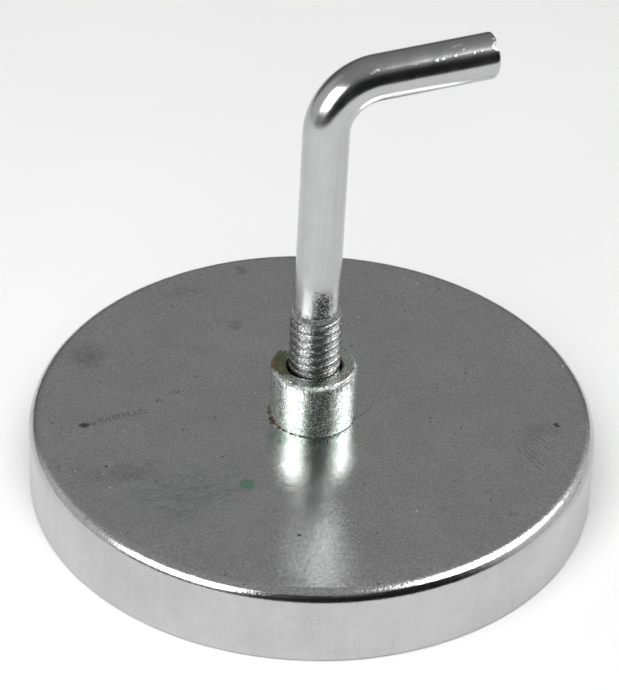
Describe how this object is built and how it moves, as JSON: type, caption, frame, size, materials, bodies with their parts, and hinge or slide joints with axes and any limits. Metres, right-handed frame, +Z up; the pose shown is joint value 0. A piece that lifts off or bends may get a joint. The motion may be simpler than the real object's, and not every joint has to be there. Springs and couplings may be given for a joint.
{
  "type": "security tag detacher",
  "caption": "Round pot magnet base with a central threaded boss and an upright rod screwed into it, bent over into a short horizontal hook with a notched tip.",
  "frame": {"origin": "centre of the pot's rim plane, on the boss's axis, where the part stands", "axes": "+Z up the rod, +X the way the arm points at rest, +Y by the right-hand rule"},
  "size_m": [0.085, 0.085, 0.0726],
  "materials": {
    "cup_plate": "satin",
    "boss_plate": "satin",
    "ferrite": "matte",
    "adhesive": "matte",
    "potting_resin": "satin",
    "rod_plate": "satin"
  },
  "bodies": {
    "base": {"magnet_cup": "cup_plate", "threaded_bush": "boss_plate", "ring_magnet": "ferrite", "bond_film": "adhesive", "rim_potting": "potting_resin"},
    "hook": {"hook_rod": "rod_plate"}
  },
  "joints": [
    {"name": "hook_turn", "type": "hinge", "parent": "base", "child": "hook", "pos_m": [0, 0, 0.0212], "axis": [0, 0, 1], "range_deg": [-180, 180]}
  ]
}
